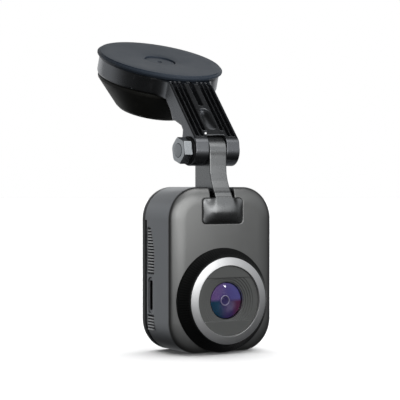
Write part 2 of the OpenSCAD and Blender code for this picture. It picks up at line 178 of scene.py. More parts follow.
def nets(f, xs, ys, zs, rounds=3):
    """A closed quad mesh of f = 0, by surface nets on a grid whose lines may be uneven, with every vertex then drawn onto the surface."""
    X, Y, Z = np.meshgrid(xs.astype(F), ys.astype(F), zs.astype(F), indexing="ij")
    V = f(X, Y, Z).astype(F)
    del X, Y, Z
    V[V == 0] = 1e-6
    for ax in range(3):                      # the mesh is always closed
        V[tuple([slice(None)] * ax + [0])] = np.maximum(V[tuple([slice(None)] * ax + [0])], 1e-3)
        V[tuple([slice(None)] * ax + [-1])] = np.maximum(V[tuple([slice(None)] * ax + [-1])], 1e-3)
    S = V < 0
    n = np.zeros([s - 1 for s in V.shape], np.int8)
    for a in (0, 1):
        for b in (0, 1):
            for c in (0, 1):
                n += S[a:S.shape[0] - 1 + a, b:S.shape[1] - 1 + b, c:S.shape[2] - 1 + c]
    live = (n > 0) & (n < 8)
    idx = np.full(live.shape, -1, np.int64)
    ci, cj, ck = np.nonzero(live)
    idx[live] = np.arange(len(ci))
    acc, cnt = np.zeros((len(ci), 3)), np.zeros(len(ci))
    corners = [(a, b, c) for a in (0, 1) for b in (0, 1) for c in (0, 1)]
    for p in corners:
        for ax in range(3):
            if p[ax]:
                continue
            q = list(p)
            q[ax] = 1
            va = V[ci + p[0], cj + p[1], ck + p[2]].astype(float)
            vb = V[ci + q[0], cj + q[1], ck + q[2]].astype(float)
            m = (va < 0) != (vb < 0)
            t = np.where(m, va / (va - vb + 1e-30), 0)
            pa = np.stack([xs[ci + p[0]], ys[cj + p[1]], zs[ck + p[2]]], 1)
            pb = np.stack([xs[ci + q[0]], ys[cj + q[1]], zs[ck + q[2]]], 1)
            acc += np.where(m[:, None], pa + t[:, None] * (pb - pa), 0)
            cnt += m
    P = acc / cnt[:, None]
    quads = []
    for ax in range(3):
        lo = [slice(1, -1)] * 3
        hi = [slice(1, -1)] * 3
        lo[ax], hi[ax] = slice(0, -1), slice(1, None)
        a, b = S[tuple(lo)], S[tuple(hi)]
        for want, flip in ((a & ~b, False), (~a & b, True)):
            e = np.array(np.nonzero(want))
            for d in range(3):
                if d != ax:
                    e[d] += 1
            o1, o2 = [d for d in range(3) if d != ax]
            if ax == 1:
                o1, o2 = o2, o1
            ring = []
            for s1, s2 in ((0, 0), (-1, 0), (-1, -1), (0, -1)):
                c = e.copy()
                c[o1] += s1
                c[o2] += s2
                ring.append(idx[c[0], c[1], c[2]])
            q = np.stack(ring, 1)
            quads.append(q[:, ::-1] if flip else q)
    Q = np.concatenate(quads)
    step = 0.5 * min(np.diff(xs).max(), np.diff(ys).max(), np.diff(zs).max())
    eps = 0.02
    for _ in range(rounds):
        p = P.astype(np.float64)
        d = f(p[:, 0], p[:, 1], p[:, 2])
        g = np.stack([f(p[:, 0] + eps * (k == 0), p[:, 1] + eps * (k == 1), p[:, 2] + eps * (k == 2)) -
                      f(p[:, 0] - eps * (k == 0), p[:, 1] - eps * (k == 1), p[:, 2] - eps * (k == 2)) for k in range(3)], 1) / (2 * eps)
        g2 = np.maximum((g * g).sum(1), 0.05)
        mv = -(d / g2)[:, None] * g
        ln = np.linalg.norm(mv, axis=1)
        mv *= np.minimum(1, step / np.maximum(ln, 1e-9))[:, None]
        P = P + mv
    return P, Q


def fillet(pts, n=5):
    """closed outline (r, a, radius) with its corners rounded"""
    out, k = [], len(pts)
    for i in range(k):
        p = np.array(pts[i][:2], float)
        rad = pts[i][2] if len(pts[i]) > 2 else 0
        a = np.array(pts[i - 1][:2], float) - p
        b = np.array(pts[(i + 1) % k][:2], float) - p
        la, lb = np.linalg.norm(a), np.linalg.norm(b)
        if rad <= 0 or la < 1e-6 or lb < 1e-6:
            out.append(tuple(p))
            continue
        a, b = a / la, b / lb
        ang = math.acos(max(-1, min(1, float(a @ b))))
        if abs(math.pi - ang) < 0.02:
            out.append(tuple(p))
            continue
        t = min(rad / math.tan(ang / 2), 0.48 * la, 0.48 * lb)
        r = t * math.tan(ang / 2)
        c = p + (a + b) / np.linalg.norm(a + b) * r / math.sin(ang / 2)
        s, e = p + a * t - c, p + b * t - c
        tot = math.atan2(s[0] * e[1] - s[1] * e[0], float(s @ e))
        for j in range(n + 1):
            w = tot * j / n
            out.append(tuple(c + np.array([s[0] * math.cos(w) - s[1] * math.sin(w), s[0] * math.sin(w) + s[1] * math.cos(w)])))
    return out


def lathe(outline, segs=192, wave=None):
    """Revolves a closed outline of (radius, height). Points on the axis become one vertex. wave(angle, r, a) changes the radius."""
    V, F4, ring = [], [], []
    th = np.arange(segs) * 2 * np.pi / segs
    for r, a in outline:
        if r < 1e-4:
            ring.append([len(V)] * segs)
            V.append((0, 0, a))
        else:
            ring.append(list(range(len(V), len(V) + segs)))
            rr = np.full(segs, r) if wave is None else r + wave(th, r, a)
            V.extend(zip(rr * np.cos(th), rr * np.sin(th), np.full(segs, a)))
    k = len(outline)
    for i in range(k):
        A, B = ring[i], ring[(i + 1) % k]
        if A[0] == A[1] and B[0] == B[1]:
            continue
        for s in range(segs):
            t = (s + 1) % segs
            q = [A[s], A[t], B[t], B[s]]
            q = [q[j] for j in range(4) if q[j] != q[j - 1]]
            F4.append(q)
    return np.array(V, float), F4


def outline_sign(outline):
    s = 0
    for i in range(len(outline)):
        a, b = outline[i - 1], outline[i]
        s += a[0] * b[1] - b[0] * a[1]
    return s


# ------------------------------------------------------------------ pieces
MADE = []


def build(name, V, faces, mat, body, nodes=(), sharp=None, crisp=False):
    me = bpy.data.meshes.new(name)
    V = np.asarray(V, float)
    if isinstance(faces, np.ndarray):
        me.vertices.add(len(V))
        me.vertices.foreach_set("co", V.astype(F).ravel())
        me.loops.add(faces.size)
        me.loops.foreach_set("vertex_index", faces.astype(np.int32).ravel())
        me.polygons.add(len(faces))
        me.polygons.foreach_set("loop_start", np.arange(0, faces.size, faces.shape[1], dtype=np.int32))
        me.update(calc_edges=True)
    else:
        me.from_pydata([tuple(v) for v in V], [], faces)
    me.validate()
    me.polygons.foreach_set("use_smooth", np.ones(len(me.polygons), bool))
    if sharp is not None:
        me.set_sharp_from_angle(angle=math.radians(sharp))
    me.update()
    ob = bpy.data.objects.new(name, me)
    bpy.context.scene.collection.objects.link(ob)
    ob.data.materials.append(mat)
    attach(ob, body)
    if nodes:
        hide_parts(*nodes)
    MADE.append(ob)
    return ob


def merge(*parts):
    V, Q, k = [], [], 0
    for v, q in parts:
        V.append(np.asarray(v, float))
        Q.extend([[i + k for i in f] for f in (q.tolist() if isinstance(q, np.ndarray) else q)])
        k += len(v)
    return np.concatenate(V), Q


def turned(outline, segs=192, wave=None):
    """lathe with its faces outward"""
    if outline_sign(outline) < 0:
        outline = outline[::-1]
    return lathe(outline, segs, wave)


def about_lens(v):
    """lathe made round (radius, forward) to the body frame: forward is -y"""
    return np.stack([v[:, 0] + LX, -v[:, 2], v[:, 1] + LZ], 1)


def about_hinge(v):
    """lathe round the hinge: height runs along +x"""
    return np.stack([v[:, 2], v[:, 0] + HY, v[:, 1] + HZ], 1)


# ------------------------------------------------------------------ materials
def nodes_of(m):
    m.use_nodes = True
    nt = m.node_tree
    return nt, nt.nodes, nt.links


def finish_mat(name, col, rough, metal=0.0, var=0.08, blotch=260.0, grain=6500.0, bump=0.12, depth=0.00003, rvar=0.06, wear=0.0,
               wear_col=None, coat=0.0, spec=0.5, stretch=None, tint=None):
    """Moulded or metal surface: slow colour drift, fine grain in bump and roughness, lighter worn edges."""
    m = bpy.data.materials.new(name)
    nt, N, L = nodes_of(m)
    p = N["Principled BSDF"]
    p.inputs["Metallic"].default_value = metal
    p.inputs["Specular IOR Level"].default_value = spec
    if coat:
        p.inputs["Coat Weight"].default_value = coat
        p.inputs["Coat Roughness"].default_value = 0.08
    tc = N.new("ShaderNodeTexCoord")
    src = tc.outputs["Object"]
    if stretch:
        mp = N.new("ShaderNodeMapping")
        mp.inputs["Scale"].default_value = stretch
        L.new(src, mp.inputs["Vector"])
        src = mp.outputs["Vector"]
    big = N.new("ShaderNodeTexNoise")
    big.inputs["Scale"].default_value = blotch
    big.inputs["Detail"].default_value = 3
    L.new(src, big.inputs["Vector"])
    fine = N.new("ShaderNodeTexNoise")
    fine.inputs["Scale"].default_value = grain
    fine.inputs["Detail"].default_value = 2
    L.new(src, fine.inputs["Vector"])
    mix = N.new("ShaderNodeMix")
    mix.data_type = "RGBA"
    c = np.array(col, float)
    d = np.array(tint if tint is not None else col, float)
    mix.inputs["A"].default_value = (*np.clip(c * (1 - var), 0, 1), 1)
    mix.inputs["B"].default_value = (*np.clip(d * (1 + var), 0, 1), 1)
    add = N.new("ShaderNodeMath")
    add.operation = "MULTIPLY_ADD"
    add.inputs[1].default_value = 0.45
    L.new(fine.outputs["Fac"], add.inputs[0])
    half = N.new("ShaderNodeMath")
    half.operation = "MULTIPLY"
    half.inputs[1].default_value = 0.55
    L.new(big.outputs["Fac"], half.inputs[0])
    L.new(half.outputs[0], add.inputs[2])
    L.new(add.outputs[0], mix.inputs["Factor"])
    colour = mix.outputs["Result"]
    if wear > 0:
        geo = N.new("ShaderNodeNewGeometry")
        ramp = N.new("ShaderNodeMapRange")
        ramp.inputs["From Min"].default_value = 0.52
        ramp.inputs["From Max"].default_value = 0.62
        ramp.inputs["To Min"].default_value = 0.0
        ramp.inputs["To Max"].default_value = wear
        L.new(geo.outputs["Pointiness"], ramp.inputs["Value"])
        wm = N.new("ShaderNodeMath")
        wm.operation = "MULTIPLY"
        L.new(ramp.outputs["Result"], wm.inputs[0])
        L.new(big.outputs["Fac"], wm.inputs[1])
        m2 = N.new("ShaderNodeMix")
        m2.data_type = "RGBA"
        wc = wear_col if wear_col is not None else np.clip(c * 1.8 + 0.03, 0, 1)
        m2.inputs["B"].default_value = (*wc, 1)
        L.new(wm.outputs[0], m2.inputs["Factor"])
        L.new(colour, m2.inputs["A"])
        colour = m2.outputs["Result"]
    L.new(colour, p.inputs["Base Color"])
    rr = N.new("ShaderNodeMapRange")
    rr.inputs["From Min"].default_value = 0.3
    rr.inputs["From Max"].default_value = 0.7
    rr.inputs["To Min"].default_value = max(0.02, rough - rvar)
    rr.inputs["To Max"].default_value = min(1, rough + rvar)
    L.new(add.outputs[0], rr.inputs["Value"])
    L.new(rr.outputs["Result"], p.inputs["Roughness"])
    if bump > 0:
        bp = N.new("ShaderNodeBump")
        bp.inputs["Strength"].default_value = bump
        bp.inputs["Distance"].default_value = depth
        L.new(fine.outputs["Fac"], bp.inputs["Height"])
        L.new(bp.outputs["Normal"], p.inputs["Normal"])
    m.diffuse_color = (*c, 1)
    return m


def srgb(r, g, b):
    v = np.array([r, g, b], float) / 255
    return tuple(np.where(v <= 0.04045, v / 12.92, ((v + 0.055) / 1.055) ** 2.4))


M_rubber = finish_mat("cup rubber", (0.098, 0.127, 0.172), 0.42, var=0.05, blotch=120, grain=3500, bump=0.10, rvar=0.05, spec=0.5)
M_mount = finish_mat("mount plastic", (0.275, 0.283, 0.297), 0.28, metal=0.96, var=0.07, blotch=200, grain=6200, bump=0.07, wear=0.10, rvar=0.04)
M_knob = finish_mat("knob plastic", (0.040, 0.039, 0.034), 0.46, var=0.30, blotch=240, grain=4200, bump=0.16, wear=0.2)
M_steel = finish_mat("bolt steel", (0.45, 0.475, 0.495), 0.30, metal=1.0, var=0.10, blotch=500, grain=4000, bump=0.06, wear=0.2, rvar=0.07)
M_zinc = finish_mat("zinc steel", (0.66, 0.69, 0.715), 0.24, metal=1.0, var=0.08, blotch=420, grain=5000, bump=0.05, wear=0.1, rvar=0.05)
M_washer = finish_mat("washer black", (0.012, 0.012, 0.013), 0.55, var=0.15, blotch=300, grain=4000, bump=0.15)
M_bracket = finish_mat("bracket grey", (0.360, 0.367, 0.370), 0.28, metal=0.95, var=0.05, blotch=300, grain=6500, bump=0.05, wear=0.10, rvar=0.04)
M_cover = finish_mat("cover grey", (0.348, 0.350, 0.344), 0.31, metal=0.88, var=0.04, blotch=180, grain=9000, bump=0.05, wear=0.08, rvar=0.03)
M_housing = finish_mat("housing grey", (0.355, 0.368, 0.385), 0.32, metal=0.84, var=0.05, blotch=180, grain=7000, bump=0.07, wear=0.15, rvar=0.04)
# painted light: the ribs are near white, a lit copy of the grey housing, so they stand bright against the shaded gaps
# between them
M_rib_painted_lit = finish_mat("vent ribs painted light", (0.97, 0.985, 1.0), 0.42, metal=0.35, var=0.06, blotch=240, grain=7000, bump=0.06, wear=0.3)
M_bezel = finish_mat("bezel black", (0.115, 0.118, 0.121), 0.33, var=0.10, blotch=220, grain=6000, bump=0.14, wear=0.3)
M_barrel = finish_mat("barrel black", (0.013, 0.0135, 0.0135), 0.38, var=0.12, blotch=260, grain=6000, bump=0.12, wear=0.2, spec=0.35)
M_ring = finish_mat("ring silver", (0.97, 0.972, 0.975), 0.34, metal=1.0, var=0.01, blotch=300, grain=9000, bump=0.012, rvar=0.03)
M_fascia = finish_mat("fascia grey", (0.215, 0.220, 0.214), 0.40, var=0.05, blotch=300, grain=8000, bump=0.08, rvar=0.04)
M_cell = finish_mat("cell black", (0.010, 0.010, 0.012), 0.40, var=0.10, blotch=300, grain=5000, bump=0.10)
M_foil = finish_mat("battery foil", (0.58, 0.59, 0.60), 0.38, metal=0.9, var=0.10, blotch=240, grain=1800, bump=0.35, depth=0.00008)
M_chip = finish_mat("chip black", (0.016, 0.016, 0.018), 0.50, var=0.15, blotch=500, grain=7000, bump=0.16)
M_amber = finish_mat("ribbon amber", (0.42, 0.19, 0.03), 0.30, var=0.10, blotch=400, grain=3000, bump=0.05, coat=0.3)
# the card is dark, and is made near black and dull as painted shade, so the slot it fills reads as shaded
M_card_painted_shade = finish_mat("card black painted shade", (0.006, 0.006, 0.0065), 0.8, var=0.15, blotch=500, grain=7000, bump=0.16, spec=0.08)
M_key = finish_mat("key grey", (0.055, 0.056, 0.058), 0.46, var=0.10, blotch=300, grain=6500, bump=0.14, wear=0.4)
M_socket = finish_mat("socket steel", (0.50, 0.51, 0.53), 0.32, metal=1.0, var=0.08, blotch=500, grain=5000, bump=0.06)


def board_mat():
    """green circuit board: solder mask with paler copper runs and small pads"""
    m = bpy.data.materials.new("board green")
    nt, N, L = nodes_of(m)
    p = N["Principled BSDF"]
    p.inputs["Roughness"].default_value = 0.34
    p.inputs["Coat Weight"].default_value = 0.4
    p.inputs["Coat Roughness"].default_value = 0.12
    tc = N.new("ShaderNodeTexCoord")
    br = N.new("ShaderNodeTexBrick")
    br.inputs["Scale"].default_value = 260
    br.inputs["Mortar Size"].default_value = 0.05
    br.inputs["Color1"].default_value = (0.012, 0.085, 0.035, 1)
    br.inputs["Color2"].default_value = (0.016, 0.100, 0.043, 1)
    br.inputs["Mortar"].default_value = (0.035, 0.170, 0.070, 1)
    mp = N.new("ShaderNodeMapping")
    mp.inputs["Rotation"].default_value = (math.radians(90), 0, 0)
    L.new(tc.outputs["Object"], mp.inputs["Vector"])
    L.new(mp.outputs["Vector"], br.inputs["Vector"])
    vo = N.new("ShaderNodeTexVoronoi")
    vo.inputs["Scale"].default_value = 420
    L.new(tc.outputs["Object"], vo.inputs["Vector"])
    lt = N.new("ShaderNodeMath")
    lt.operation = "LESS_THAN"
    lt.inputs[1].default_value = 0.18
    L.new(vo.outputs["Distance"], lt.inputs[0])
    mx = N.new("ShaderNodeMix")
    mx.data_type = "RGBA"
    mx.inputs["B"].default_value = (0.55, 0.42, 0.20, 1)
    L.new(lt.outputs[0], mx.inputs["Factor"])
    L.new(br.outputs["Color"], mx.inputs["A"])
    L.new(mx.outputs["Result"], p.inputs["Base Color"])
    bp = N.new("ShaderNodeBump")
    bp.inputs["Strength"].default_value = 0.3
    bp.inputs["Distance"].default_value = 0.00005
    L.new(br.outputs["Fac"], bp.inputs["Height"])
    L.new(bp.outputs["Normal"], p.inputs["Normal"])
    return m


def clear_mat(name, tint, rough=0.02, ior=1.5, haze=0.0):
    """thin clear cover: what is behind shows through, and the lights glint on it"""
    m = bpy.data.materials.new(name)
    nt, N, L = nodes_of(m)
    out = N["Material Output"]
    N.remove(N["Principled BSDF"])
    tr = N.new("ShaderNodeBsdfTransparent")
    gl = N.new("ShaderNodeBsdfGlossy")
    gl.inputs["Roughness"].default_value = rough
    fr = N.new("ShaderNodeFresnel")
    fr.inputs["IOR"].default_value = ior
    mx = N.new("ShaderNodeMixShader")
    tc = N.new("ShaderNodeTexCoord")
    no = N.new("ShaderNodeTexNoise")
    no.inputs["Scale"].default_value = 150
    L.new(tc.outputs["Object"], no.inputs["Vector"])
    cm = N.new("ShaderNodeMix")
    cm.data_type = "RGBA"
    t = np.array(tint, float)
    cm.inputs["A"].default_value = (*np.clip(t * 0.97, 0, 1), 1)
    cm.inputs["B"].default_value = (*np.clip(t * 1.02, 0, 1), 1)
    L.new(no.outputs["Fac"], cm.inputs["Factor"])
    L.new(cm.outputs["Result"], tr.inputs["Color"])
    L.new(fr.outputs["Fac"], mx.inputs["Fac"])
    L.new(tr.outputs["BSDF"], mx.inputs[1])
    L.new(gl.outputs["BSDF"], mx.inputs[2])
    L.new(mx.outputs["Shader"], out.inputs["Surface"])
    return m


M_board = board_mat()
M_dome = clear_mat("lens glass", (0.96, 0.95, 1.0), 0.075, 1.18)
M_window = finish_mat("screen glass", (0.006, 0.0065, 0.008), 0.06, var=0.10, blotch=60, grain=900, bump=0.0, rvar=0.02, coat=1.0)
M_light = finish_mat("light clear", (0.55, 0.60, 0.62), 0.20, var=0.06, blotch=400, grain=3000, bump=0.05, coat=0.6)


def coating_reflection_mat():
    """inner lens: the coating's violet, teal and plum tints, with a painted reflection of the bright studio above:
    lighter violet above the middle, darker teal to the lower left and plum to the lower right, deep blue in the middle
    """
    m = bpy.data.materials.new("lens coating painted reflection")
    nt, N, L = nodes_of(m)
    p = N["Principled BSDF"]
    p.inputs["Roughness"].default_value = 0.22
    p.inputs["Coat Weight"].default_value = 0.12
    p.inputs["Coat Roughness"].default_value = 0.08
    tc = N.new("ShaderNodeTexCoord")
    mp = N.new("ShaderNodeMapping")
    c = body_pts([[LX, 0, LZ]])[0]
    mp.inputs["Location"].default_value = (-c[0] / 0.0077, 0, -c[2] / 0.0077)
    mp.inputs["Scale"].default_value = (1 / 0.0077, 1, 1 / 0.0077)
    L.new(tc.outputs["Object"], mp.inputs["Vector"])
    sp = N.new("ShaderNodeSeparateXYZ")
    L.new(mp.outputs["Vector"], sp.inputs["Vector"])

    def step(src, lo, hi):
        r = N.new("ShaderNodeMapRange")
        r.interpolation_type = "SMOOTHSTEP"
        r.inputs["From Min"].default_value = lo
        r.inputs["From Max"].default_value = hi
        L.new(src, r.inputs["Value"])
        return r.outputs["Result"]

    def mixc(f, a, b):
        x = N.new("ShaderNodeMix")
        x.data_type = "RGBA"
        L.new(f, x.inputs["Factor"])
        for s, v in (("A", a), ("B", b)):
            if isinstance(v, tuple):
                x.inputs[s].default_value = (*v, 1)
            else:
                L.new(v, x.inputs[s])
        return x.outputs["Result"]
    # painted reflection: the lower half keeps the darker teal and plum, the upper half is a lighter violet standing in
    # for the bright studio above reflected in the lens
    low = mixc(step(sp.outputs["X"], -0.55, 0.15), (0.005, 0.105, 0.180), (0.075, 0.040, 0.200))
    low = mixc(step(sp.outputs["X"], 0.30, 0.75), low, (0.200, 0.030, 0.120))
    high = mixc(step(sp.outputs["X"], -0.75, 0.55), (0.310, 0.170, 0.480), (0.200, 0.190, 0.580))
    col = mixc(step(sp.outputs["Z"], -0.10, 0.12), low, high)
    rad = N.new("ShaderNodeVectorMath")
    rad.operation = "LENGTH"
    cx = N.new("ShaderNodeCombineXYZ")
    L.new(sp.outputs["X"], cx.inputs["X"])
    L.new(sp.outputs["Z"], cx.inputs["Y"])
    L.new(cx.outputs["Vector"], rad.inputs[0])
    # deep blue in the middle of the lens
    col = mixc(step(rad.outputs["Value"], 0.42, 0.18), col, (0.070, 0.050, 0.210))
    L.new(col, p.inputs["Base Color"])
    return m


M_coating_painted_reflection = coating_reflection_mat()

CAD_MATS = {
    "suction_cup": M_rubber, "mount_arm": M_mount, "hinge_bolt": M_steel, "hinge_nut": M_zinc, "hinge_washer": M_washer,
    "knob_clip": M_steel, "lock_knob": M_knob, "draw_stem": M_rubber, "stem_pin": M_steel, "camera_bracket": M_bracket,
    "bracket_retainer": M_zinc, "bracket_screws": M_steel, "front_cover": M_cover, "rear_housing": M_housing,
    "rear_bezel": M_bezel, "case_screws": M_washer, "lens_barrel": M_barrel, "lens_trim_ring": M_ring, "lens_fascia": M_fascia,
    "front_lens": M_dome, "lens_cell": M_cell, "inner_lenses": M_coating_painted_reflection, "lens_holder": M_cell, "image_sensor": M_chip,
    "sensor_board": M_board, "sensor_screws": M_steel, "barrel_lock_ring": M_barrel, "main_board": M_board,
    "board_screws": M_steel, "processor": M_chip, "battery": M_foil, "speaker": M_chip, "microphone": M_zinc,
    "card_socket": M_socket, "usb_socket": M_socket, "side_switch": M_chip, "key_board": M_board, "key_switches": M_zinc,
    "display_panel": M_window, "display_window": M_window, "display_ribbon": M_amber, "status_light": M_light,
    "menu_key": M_key, "up_key": M_key, "down_key": M_key, "ok_key": M_key, "power_button": M_key, "memory_card": M_card_painted_shade,
}
for nm, ob in frame["nodes"].items():
    ob.data.materials.clear()
    ob.data.materials.append(CAD_MATS[nm])

# ------------------------------------------------------------------ suction cup and its ring
cup = fillet([(7.05, -5.6), (7.05, -0.95, 0.35), (10.5, -0.62, 2), (24, -0.02, 6), (27.75, 0.0, 0.35), (27.95, -0.55, 0.15), (28.25, -0.62, 0.1), (28.68, -0.80, 0.3),
              (28.66, -1.55, 0.5), (27.7, -2.6, 0.2), (25.1, -2.62), (24.9, -5.6)])
V, Q = turned(cup, 256)
build("suction_cup_rubber", cup_pts(V), Q, M_rubber, "mount", ["suction_cup"], sharp=50)

stem = fillet([(0, -2.7), (1.05, -2.7), (1.1, -1.6, 0.1), (6.6, -1.5, 0.3), (6.95, -1.8, 0.2), (6.95, -4.2, 0.2), (2.6, -4.2, 0.4), (2.6, -19.7, 0.2), (0, -19.9)])
V, Q = turned(stem, 128)
build("draw_stem_plate", cup_pts(V), Q, M_rubber, "stem", ["draw_stem"], sharp=50)

ring = fillet([(25.3, -2.72), (27.45, -2.72, 0.15), (27.5, -9.2, 0.3), (27.1, -10.2, 0.5), (20, -10.22), (9.0, -10.22, 0.1), (9.0, -12.6, 0.3), (7.25, -12.6, 0.1), (7.2, -14.3, 0.2),
               (2.75, -14.35, 0.2), (2.7, -8.2), (25.25, -8.18, 0.3)])
V, Q = turned(ring, 256)
build("mount_ring", cup_pts(V), Q, M_mount, "mount", ["mount_arm"], sharp=50)

# ------------------------------------------------------------------ arm
ARM = fillet([(25.9, 116.6), (1.75, 89.93, 4.5), (1.34, 86.21), (HY, HZ), (14.25, 86.2), (13.3, 91.7), (12.9, 94.3), (14.2, 96.3),
              (19.5, 98.4), (21.8, 98.9), (24.0, 103.4), (27.7, 107.6), (33.6, 112.2), (36.5, 116.0), (31.0, 120.5)], 6)
AO = (25.9, 116.6)
AA = math.radians(-42.2)
CA, SA = math.cos(AA), math.sin(AA)
KNOB = [(0, -10.1), (27.4, -10.1), (27.4, -12.1), (17.5, -23.7), (0, -25)]


def arm_world(v):
    v = np.asarray(v, float)
    return np.stack([v[:, 0], AO[0] + v[:, 1] * CA - v[:, 2] * SA, AO[1] + v[:, 1] * SA + v[:, 2] * CA], 1)


def arm_field(x, q, w):
    """x across, q into the arm from its front face, w up along it"""
    y = AO[0] + q * CA - w * SA
    z = AO[1] + q * SA + w * CA
    rc, h, ly = to_cup(x, y, z)
    wall = slab(x, -10.9, 10.9)
    side = poly2(y, z, ARM)
    rod = np.hypot(y - HY, z - HZ)
    prism = both(side, wall, 0.45)
    barrel = both(rod - 6.5, wall, 0.35)
    d = join(prism, barrel)
    band = both(rc - 27.47, slab(h, -10.17, -2.75), 0.5)
    d = join(d, band, 4.2)
    # the hollow of the ring, the knob's swing and the level top
    d = cut(d, both(rc - 25.33, -(h + 8.15)), 0.15)
    d = cut(d, poly2(rc, h, KNOB), 0.25)
    d = both(d, h + 2.74, 0.15)
    # only what lies round the arm
    d = np.maximum(d, ly - 1.0)
    d = np.maximum(d, np.abs(x) - 21.5)
    # clevis gap, bolt hole and the counterbore for the bolt's head
    gap = both(slab(x, -4.4, 4.4), both(z - 92.1, y - 15.5))
    d = cut(d, gap, 0.06)
    d = cut(d, rod - 3.05, 0.0)
    d = cut(d, both(rod - 5.2, 7.5 - x), 0.25)
    # grooves: straight walls, round ends and a soft floor
    for c, end in ((8.85, -32.4), (6.65, -32.4), (4.45, -29.0)):
        g = both(rrect(np.abs(x) - c, w - (end - 1.0) / 2 + 0.0, 0.84, (-end + 0.2) / 2 + 0.6, 0.7), q - 3.4, 0.3)
        d = cut(d, g, 0.16)
    g = both(rrect(x, w + 7.5, 1.15, 7.9, 0.5), q - 3.2, 0.3)
    d = cut(d, g, 0.16)
    # long scoop: deepest under its domed top end, running out towards its foot
    t = np.clip((-w - 17.2) / 12.5, 0, 1)
    bowl = 1.75 * (1 - t) ** 0.8 * np.clip(1 - (x / 2.6) ** 2, -0.5, 1) ** 1 + 0.15
    g = both(rrect(x, w + 23.4, 2.45, 6.2, 2.3), (q - bowl) * 0.75, 0.3)
    d = cut(d, g, 0.2)
    # small drain that shows daylight beside the tongue
    yy = y - 4.3
    g = both(both(np.abs(x - (-4.45 + 0.585 * yy)) - 0.55, np.abs(z - 93.0) - 0.55), np.abs(y - 8.5) - 9)
    d = cut(d, g, 0.0)
    return d


xs = lines((-21.9, -11.4, 0.7), (-11.4, 11.4, 0.25), (11.4, 21.9, 0.7))
qs = lines((-12, -1.0, 0.5), (-1.0, 4.2, 0.3), (4.2, 30, 0.55))
ws = lines((-42.5, -36.0, 0.4), (-36.0, -1.5, 0.35), (-1.5, 14.0, 0.5))
V, Q = nets(arm_field, xs, qs, ws)
build("mount_arm_body", body_pts(arm_world(V)), Q, M_mount, "mount", ["mount_arm"])

# ------------------------------------------------------------------ hinge hardware
V, Q = turned(fillet([(0, -16.0), (2.88, -16.0, 0.08), (2.9, -15.4), (3.0, -11), (3.0, 7.6), (5.0, 7.6, 0.1), (5.0, 10.3, 0.3), (4.5, 10.7, 0.2), (2.35, 10.7, 0.1), (2.3, 9.2), (0, 9.0)]), 96)


def hexed(v):
    """opens the socket in the bolt's head into a hexagon"""
    v = v.copy()
    r = np.hypot(v[:, 0], v[:, 1])
    a = np.arctan2(v[:, 1], v[:, 0])
    m = (v[:, 2] > 9.05) & (r < 2.5) & (r > 1)
    k = 2.08 / np.cos((a + np.pi / 6) % (np.pi / 3) - np.pi / 6) / 2.35
    v[m, :2] *= np.where(k > 1.02, 1.02, k)[m, None]
    return v


build("hinge_bolt_turned", body_pts(about_hinge(hexed(V))), Q, M_steel, "mount", ["hinge_bolt"], sharp=35)


def nut_field(x, y, z):
    u, v = y - HY, z - HZ
    a = np.arctan2(v, u) - math.radians(18)
    r = np.hypot(u, v)
    sec = (a + np.pi / 6 + np.pi / 6) % (np.pi / 3) - np.pi / 6
    hexa = r * np.cos(sec) - 5.85 * math.cos(math.pi / 6)
    d = both(hexa, slab(x, -15.9, -11.75), 0.16)
    for s, e in ((1, -11.75), (-1, -15.9)):
        t = (s * (x - e) + (r - 5.25) * math.tan(math.radians(28))) * math.cos(math.radians(28))
        d = both(d, t, 0.05)
    d = cut(d, r - 3.02, 0.0)
    t = ((r - 3.12) + (x + 15.9)) * 0.7071
    return cut(d, t, 0.03)


g = lines((-16.1, -11.5, 0.1))
V, Q = nets(nut_field, g, lines((HY - 6.1, HY + 6.1, 0.14)), lines((HZ - 6.1, HZ + 6.1, 0.14)))
build("hinge_nut_hex", body_pts(V), Q, M_zinc, "mount", ["hinge_nut"])
V, Q = turned(fillet([(3.1, -11.72, 0.05), (5.9, -11.72, 0.2), (6.1, -11.4, 0.15), (6.1, -10.93, 0.1), (3.1, -10.93)]), 96)
build("hinge_washer_ring", body_pts(about_hinge(V)), Q, M_washer, "mount", ["hinge_washer"], sharp=40)

# ------------------------------------------------------------------ knob
knob = fillet([(9.1, -10.38), (26.6, -10.38, 0.3), (26.9, -10.9, 0.3), (26.9, -11.9, 1.2), (17.1, -23.3, 1.6), (15.4, -24.68, 0.9), (3.0, -24.7, 0.6), (0, -24.3),
               (0, -22.9), (2.68, -22.9), (2.68, -15.25, 0.2), (6.0, -15.25, 0.2), (6.0, -22.9, 0.5), (14.6, -22.9, 0.5), (23.9, -12.5, 0.5), (9.1, -12.5, 0.2)], 7)
V, Q = turned(knob, 256)
build("lock_knob_turned", cup_pts(V), Q, M_knob, "knob", ["lock_knob"], sharp=50)

# ------------------------------------------------------------------ bracket
NECK = [(HY + 6.35, HZ), (13.85, 79), (13.85, 66.4), (2, 66.4), (0.4, 65.2), (0.4, 60), (-2.6, 60), (-3.3, 65.4),
        (-2.5, 67.6), (-1.1, 69.9), (0.2, 72.6), (1.15, 75.6), (1.38, 79), (HY - 6.45, HZ)]


def bracket_field(x, y, z):
    wall = slab(x, -4.2, 4.2)
    rod = np.hypot(y - HY, z - HZ)
    barrel = both(rod - 6.5, wall, 0.15)
    neck = both(poly2(y, z, NECK), wall, 0.35)
    d = join(barrel, neck, 0.3)
    # cushion-shaped foot
    u, v = np.clip(np.abs(x) / 9.95, 0, 1.2), np.clip((z - 59.75) / 5.45, -1.2, 1.2)
    bulge = 2.0 * np.clip(1 - u ** 3.2, -0.4, 1) * np.clip(1 - v * v, -0.4, 1)
    front = -(y + 2.5 + bulge) * 0.86
    foot = both(both(rrect(x, z - 59.95, 9.95, 5.45, 1.8), front, 0.35), y - 0.4)
    d = blendmin(d, foot, 3.4)
    d = both(d, np.minimum(wall, z - 65.45), 0.12)
    d = np.where(y < 0.9, d, np.maximum(d, wall))
    d = cut(d, rod - 3.05, 0.0)
    return d


